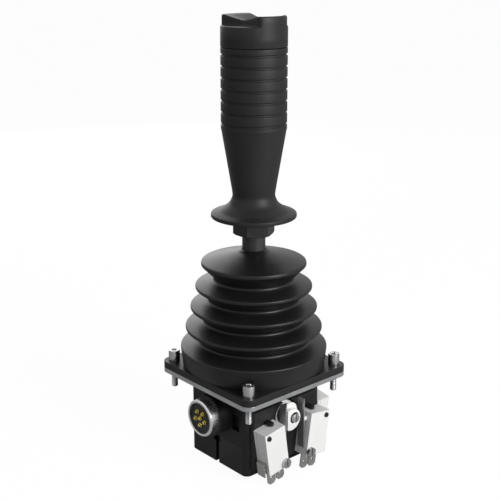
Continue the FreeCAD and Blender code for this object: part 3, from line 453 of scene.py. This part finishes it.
def divided(line, step=1.2):
    """The outline with long runs divided, so that it bends evenly."""
    out = [line[0]]
    for (r0, z0), (r1, z1) in zip(line, line[1:]):
        count = max(1, math.ceil(math.dist((r0, z0), (r1, z1)) / step))
        for k in range(1, count + 1):
            out.append((r0 + (r1 - r0) * k / count, z0 + (z1 - z0) * k / count))
    return out


def drawn_in(radius, height):
    """Draws the drum at the foot in to the sides of the square plate, with a soft corner."""
    half = PLATE_HALF + (DRUM_HALF - PLATE_HALF) * (height - PLATE_TOP) / (DRUM_TOP - PLATE_TOP)

    def reach(angle):
        square = half / max(abs(math.cos(angle)), abs(math.sin(angle))) / radius
        return (1 + square ** -DRAW_IN) ** (-1 / DRAW_IN)
    return reach


outer_wall, inner_wall = gaiter_walls()
outer_top, outer_low = split_at(outer_wall, SEAM)
inner_top, inner_low = split_at(inner_wall, SEAM - WALL_DROP)
for name, line, bodies, start, end in (
        ("gaiter_upper", outer_top[::-1] + inner_top, ("gimbal", "lever"), SEAM, UPPER_END),
        ("gaiter_lower", outer_low + inner_low[::-1], ("housing", "gimbal"), LOWER_START,
         SEAM - WALL_DROP)):
    work = bmesh.new()
    line = divided(line)
    shapes = {i: drawn_in(r, z) for i, (r, z) in enumerate(line) if z < DRUM_TOP}
    lathe(work, line, steps=160, shapes=shapes)
    piece = add_piece(name, mesh_of(work, name, 50), RUBBER, None)
    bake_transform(piece)
    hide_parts("gaiter")


# Grip with rounded guard and grooves

# Heights, and radii of the barrel, its grooves and the three bores
GRIP_LOW, GRIP_TOP = 98, 199.3
BARREL_RAD, GROOVE_RAD = 19.15, 18.45
GROOVES, GROOVE_STEP, LAST_GROOVE = 7, 6.53, 3.9
GROOVE_HALF, GROOVE_FLOOR_HALF = 0.75, 0.45
NECK_BORE, SHAFT_BORE, HEAD_BORE = 7.05, 5.05, 14.6
NECK_TOP, HEAD_FLOOR = 106, 170


def grip_outline():
    """Outline of the grip as (radius, height, rounding), up the outside and down its bores."""
    line = [(NECK_BORE, GRIP_LOW, 0), (13.0, GRIP_LOW, 0.4), (20.0, 99.3, 3.0), (25.5, 100.7, 0.9),
            (25.5, 102.9, 0.9), (20.7, 104.3, 6.0), (14.6, 108.6, 7.0), (12.44, 113.2, 6.0),
            (12.95, 117.0, 12.0), (18.85, 152.2, 2.0), (BARREL_RAD, 153.4, 0.5)]
    for i in reversed(range(GROOVES)):
        middle = GRIP_TOP - LAST_GROOVE - GROOVE_STEP * i
        line += [(BARREL_RAD, middle - GROOVE_HALF, 0.25), (GROOVE_RAD, middle - GROOVE_FLOOR_HALF, 0.15),
                 (GROOVE_RAD, middle + GROOVE_FLOOR_HALF, 0.15), (BARREL_RAD, middle + GROOVE_HALF, 0.25)]
    line += [(BARREL_RAD, GRIP_TOP, 0.4), (HEAD_BORE, GRIP_TOP, 0.2), (HEAD_BORE, HEAD_FLOOR, 0),
             (SHAFT_BORE, HEAD_FLOOR, 0), (SHAFT_BORE, NECK_TOP, 0), (NECK_BORE, NECK_TOP, 0),
             (NECK_BORE, GRIP_LOW, 0)]
    return rounded(line, 6)


work = bmesh.new()
lathe(work, grip_outline(), steps=160)
stand_in("grip_turned", work, GRIP, "grip")


# Cap screws with sockets and threads

# Points are (radius, height), from the tip up and then down into the socket
SCREW_PLACE = 35
PITCH = 0.7
THREAD_LOW, THREAD_END = -9.9, -0.4
THREAD_ROOT, THREAD_CREST = 1.72, 2.0
SCREW_TIP = [(0, -10.5), (1.5, -10.5), (1.95, -10.05)]
SCREW_HEAD = [(2.1, -0.3), (2.1, 7.0), (3.35, 7.0), (3.5, 7.15), (3.5, 13.3), (3.38, 13.7), (3.1, 13.88),
              (2.0, 13.9)]
SOCKET = [(1.6, 13.75), (1.5, 13.5), (1.5, 11.4)]
SOCKET_FLOOR = (0, 11.1)


def cap_screw(work, x, y):
    """One screw from its tip up, with rings for threads and a hexagonal socket."""
    line = list(SCREW_TIP)
    height = THREAD_LOW
    while height < THREAD_END:
        line += [(THREAD_ROOT, height), (THREAD_CREST, height + 0.3), (THREAD_CREST, height + 0.4)]
        height += PITCH
    line += SCREW_HEAD
    shapes = {len(line) + i: hexagon_reach for i in range(len(SOCKET))}
    lathe(work, line + SOCKET + [SOCKET_FLOOR], (x, y), shapes=shapes)


work = bmesh.new()
for side_x in (-1, 1):
    for side_y in (-1, 1):
        cap_screw(work, SCREW_PLACE * side_x, SCREW_PLACE * side_y)
stand_in("cap_screws", work, BOLT, "flange_screws")


# Round connector, turned about the line of the second axle

# Height of both axles, and outlines of (radius, distance towards the front, rounding)
PIVOT = -17.5
CONNECTOR_MIDDLE = (0, PIVOT)
PIN_CIRCLE, OUTER_PINS, FIRST_PIN = 4.4, 5, 54
SHELL_OUTLINE = [(9.7, 33.0, 0), (11.2, 33.0, 0), (11.2, 37.7, 0.05), (11.4, 37.7, 0.05), (11.4, 42.9, 0.5),
                 (10.9, 43.7, 0.3), (9.7, 43.7, 0.25), (9.7, 33.0, 0)]
INSERT_OUTLINE = [(0, 33.0, 0), (9.65, 33.0, 0), (9.65, 43.1, 0.3), (9.0, 43.1, 0.3), (8.8, 42.3, 0.3),
                  (0, 42.3, 0)]
PIN_OUTLINE = [(0, 42.0, 0), (1.4, 42.0, 0), (1.4, 43.3, 0.4), (0.95, 43.4, 0.1), (0.95, 44.4, 0.5),
               (0, 44.7, 0)]


def lathe_along_y(work, profile, centre, steps):
    """Turns a profile of (radius, distance towards the front, rounding) about a line along Y."""
    start = len(work.verts)
    lathe(work, rounded(profile), steps=steps)
    work.verts.ensure_lookup_table()
    for vert in work.verts[start:]:
        x, y, out = vert.co
        vert.co = (x + centre[0] * MM, -out, y + centre[1] * MM)


work = bmesh.new()
lathe_along_y(work, SHELL_OUTLINE, CONNECTOR_MIDDLE, 128)
stand_in("shell_turned", work, SHELL, "connector_shell")

work = bmesh.new()
lathe_along_y(work, INSERT_OUTLINE, CONNECTOR_MIDDLE, 96)
stand_in("insert_turned", work, INSERT, "connector_insert")

work = bmesh.new()
lathe_along_y(work, PIN_OUTLINE, CONNECTOR_MIDDLE, 32)
for i in range(OUTER_PINS):
    angle = math.radians(FIRST_PIN + 360 / OUTER_PINS * i)
    place = (PIN_CIRCLE * math.cos(angle), PIVOT + PIN_CIRCLE * math.sin(angle))
    lathe_along_y(work, PIN_OUTLINE, place, 32)
stand_in("pins_turned", work, GOLD, "connector_pins")


# Cams with a straight side, their hubs and screws, and the pegs in the upper holes of the switches

def prism(work, outline, low, high, quarter, edge=0.35):
    """A plate from low to high along X with softened edges, given a quarter turn for the second set."""
    count = len(outline)
    middle = Vector((sum(y for y, z in outline) / count, sum(z for y, z in outline) / count))
    levels = [(low, edge), (low + edge, 0), (high - edge, 0), (high - edge * 0.3, edge * 0.3), (high, edge)]
    rings = []
    for out, drawn in levels:
        ring = []
        for y, z in outline:
            inward = (middle - Vector((y, z))).normalized() * drawn
            place = Vector((out, y + inward.x, z + inward.y + PIVOT)) * MM
            if quarter:
                place = Vector((-place.y, place.x, place.z))
            ring.append(work.verts.new(place))
        rings.append(ring)
    for near, far in zip(rings, rings[1:]):
        for k in range(count):
            after = (k + 1) % count
            work.faces.new((near[k], near[after], far[after], far[k]))
    work.faces.new(rings[0][::-1])
    work.faces.new(rings[-1])


def arc(centre, radius, start, end, count=40):
    points = []
    for k in range(count + 1):
        angle = math.radians(start + (end - start) * k / count)
        points.append((centre[0] + radius * math.cos(angle), centre[1] + radius * math.sin(angle)))
    return points


def disc_outline(radius, centre=(0, 0), count=64):
    return arc(centre, radius, 0, 360 * (count - 1) / count, count - 1)


# Outlines across the axle, and distances out along it from the middle of the joystick
CAM_FACE = arc((-2.0, -0.8), 7.0, -119, 119)
CAM_LOBE = arc((-1.2, 3.4), 5.8, -30, 118) + [(-3.9, 2.0), (-3.9, -6.5), (0.6, -7.0), (3.4, -4.0)]
LOBE_NEAR, LOBE_FAR, CAM_FAR = 33.4, 34.4, 37.0
HUB_RAD, HUB_NEAR = 6.0, {"x": 27.6, "y": 30.4}
HEAD_RAD, HEAD_EDGE = 2.75, 0.25
SLOT_FLOOR, SLOT_OVERLAP, HEAD_FAR = 37.9, 0.05, 38.6
SLOT_ANGLE = 81

for quarter, prefix in ((False, "x"), (True, "y")):
    work = bmesh.new()
    prism(work, CAM_FACE, LOBE_FAR, CAM_FAR, quarter)
    prism(work, CAM_LOBE, LOBE_NEAR, LOBE_FAR, quarter)
    stand_in(prefix + "_cam_shaped", work, NYLON, prefix + "_cam")
    work = bmesh.new()
    prism(work, disc_outline(HUB_RAD), HUB_NEAR[prefix], LOBE_NEAR, quarter)
    stand_in(prefix + "_cam_hub_shaped", work, DARK_STEEL, prefix + "_cam_hub")
    work = bmesh.new()
    prism(work, disc_outline(HEAD_RAD), CAM_FAR, SLOT_FLOOR, quarter, HEAD_EDGE)
    for side in (-1, 1):
        half = [(side * y, z) for y, z in arc((0, 0), HEAD_RAD, -SLOT_ANGLE, SLOT_ANGLE)]
        prism(work, half, SLOT_FLOOR - SLOT_OVERLAP, HEAD_FAR, quarter, HEAD_EDGE)
    stand_in(prefix + "_cam_screw_slotted", work, BOLT, prefix + "_cam_screw")

# A case leans about its inner top corner, from which the peg's place is measured while it is upright
CASE_LEAN = math.radians(-8.5)
CASE_PLACE = (11.3, 0.1)
PEG_PLACE = (13.1, -2.8)
PEG_RAD, PEG_NEAR, PEG_FAR, PEG_EDGE = 1.5, 32.0, 41.4, 0.4

work = bmesh.new()
for quarter in (False, True):
    for side in (-1, 1):
        lean = CASE_LEAN * side
        y, z = PEG_PLACE[0] * side, PEG_PLACE[1]
        place = (CASE_PLACE[0] * side + y * math.cos(lean) - z * math.sin(lean),
                 CASE_PLACE[1] + y * math.sin(lean) + z * math.cos(lean))
        prism(work, disc_outline(PEG_RAD, place, 32), PEG_NEAR, PEG_FAR, quarter, PEG_EDGE)
add_piece("case_pegs", mesh_of(work, "case_pegs"), HOUSE, "housing")


# Twist cap: a dished top, and two finger pockets that leave a ridge across it

# The walls run from the corner nearest the axis out to two points beyond the rim, and again half a turn on
CAP_RAD, CAP_LOW, CAP_TOP = 19.15, 199.6, 217.0
CAP_BORE_RAD, CAP_BORE_TOP = 3.2, 205.7
POCKET_FLOOR = 211.2
DISH_RAD, DISH_DEEP = 17.2, 4.6
WALL_CORNER = Vector((-2.8, -7.7))
WALL_RIGHT, WALL_LEFT = Vector((35.1, -12.9)), Vector((-44.2, -19.1))
CORNER_SHARPNESS = 16
RIM_ROUNDING = 0.7
RIM_FADE = 1.2
CAP_STEPS = 480


def wall_distance(angle, end):
    """How far from the axis a ray meets the line from the pocket's corner to an end, or 1000."""
    ray = Vector((math.cos(angle), math.sin(angle)))
    along = end - WALL_CORNER
    normal = Vector((along.y, -along.x)).normalized()
    if normal.dot(WALL_CORNER) < 0:
        normal = -normal
    towards = normal.dot(ray)
    return normal.dot(WALL_CORNER) / towards if towards > 0.01 else 1000.0


def ridge_reach(angle):
    """Reach of the cap's raised part at an angle, with rounded corners."""
    reach = CAP_RAD
    for turned in (angle, angle + math.pi):
        right, left = wall_distance(turned, WALL_RIGHT), wall_distance(turned, WALL_LEFT)
        wall = (right ** CORNER_SHARPNESS + left ** CORNER_SHARPNESS) ** (1 / CORNER_SHARPNESS)
        reach = (reach ** -CORNER_SHARPNESS + wall ** -CORNER_SHARPNESS) ** (-1 / CORNER_SHARPNESS)
    return min(reach, CAP_RAD)


def cap_height(r):
    return CAP_TOP - DISH_DEEP * max(0, 1 - r / DISH_RAD)


def cap_rings(angle):
    """Radius and height of each ring of the cap at an angle, from its bore to the middle of the top."""
    reach = ridge_reach(angle)
    pocket = min(1, (CAP_RAD - reach) / RIM_FADE)
    rim = CAP_RAD - RIM_ROUNDING * pocket
    rings = [(CAP_BORE_RAD, CAP_BORE_TOP), (CAP_BORE_RAD, CAP_LOW), (CAP_RAD - 0.3, CAP_LOW),
             (CAP_RAD, CAP_LOW + 0.3), (CAP_RAD, 205.0), (CAP_RAD, POCKET_FLOOR - RIM_ROUNDING),
             (CAP_RAD - 0.2 * pocket, POCKET_FLOOR - 0.2), (rim, POCKET_FLOOR)]
    for out, up in ((0.9, 0.0), (0.35, 0.25), (0.08, 0.7), (0.0, 1.3)):
        rings.append((min(reach + out, rim), POCKET_FLOOR + up + 0.1 * (1 - pocket)))
    for inward, down in ((0.0, 1.1), (0.1, 0.6), (0.4, 0.2)):
        rings.append((reach - inward, cap_height(reach) - down))
    for share in (1, 0.85, 0.7, 0.55, 0.4, 0.25, 0.1):
        r = (reach - 0.9) * share
        rings.append((r, cap_height(r)))
    return rings


work = bmesh.new()
columns = []
for k in range(CAP_STEPS):
    angle = 2 * math.pi * k / CAP_STEPS
    across, along = math.cos(angle) * MM, math.sin(angle) * MM
    columns.append([work.verts.new((r * across, r * along, z * MM)) for r, z in cap_rings(angle)])
bore_end = work.verts.new((0, 0, CAP_BORE_TOP * MM))
top_middle = work.verts.new((0, 0, cap_height(0) * MM))
for k, column in enumerate(columns):
    after = columns[(k + 1) % CAP_STEPS]
    for i in range(len(column) - 1):
        work.faces.new((column[i], after[i], after[i + 1], column[i + 1]))
    work.faces.new((column[-1], after[-1], top_middle))
    work.faces.new((after[0], column[0], bore_end))
stand_in("twist_cap_shaped", work, CAP, "twist_cap", 50)


# Return springs between the housing and the part that they turn back, copied as they are

for spring_name, axis, body in (("x_return_spring", 0, "gimbal"), ("y_return_spring", 1, "yoke")):
    low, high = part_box(spring_name)
    start, end = [0, 0, 0], [0, 0, 0]
    start[axis], end[axis] = low[axis], high[axis]
    coils = NODES[spring_name].data.copy()
    spring = add_piece(spring_name + "_wound", coils, SPRING, None)
    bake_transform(spring)
    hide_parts(spring_name)


# Nodes that keep their shape, with rounded edges of a width in millimetres

ROUNDINGS = {
    "mounting_plate": 0.3, "gaiter_flange": 0.6, "housing_body": 0.5, "housing_cover": 0.5,
    "x_cam_disc": 0.2, "y_cam_disc": 0.2, "switch_screws": 0.25, "x_switch_pad": 0.4,
    "y_switch_pad": 0.4, "lock_nut": 0.3, "cover_screws": 0.25,
}
for switch in SWITCHES:
    ROUNDINGS[switch + "_case"] = 0.35
    ROUNDINGS[switch + "_terminals"] = 0.12
    ROUNDINGS[switch + "_plunger"] = 0.2
for node_name, width in ROUNDINGS.items():
    soften(node_name, width)
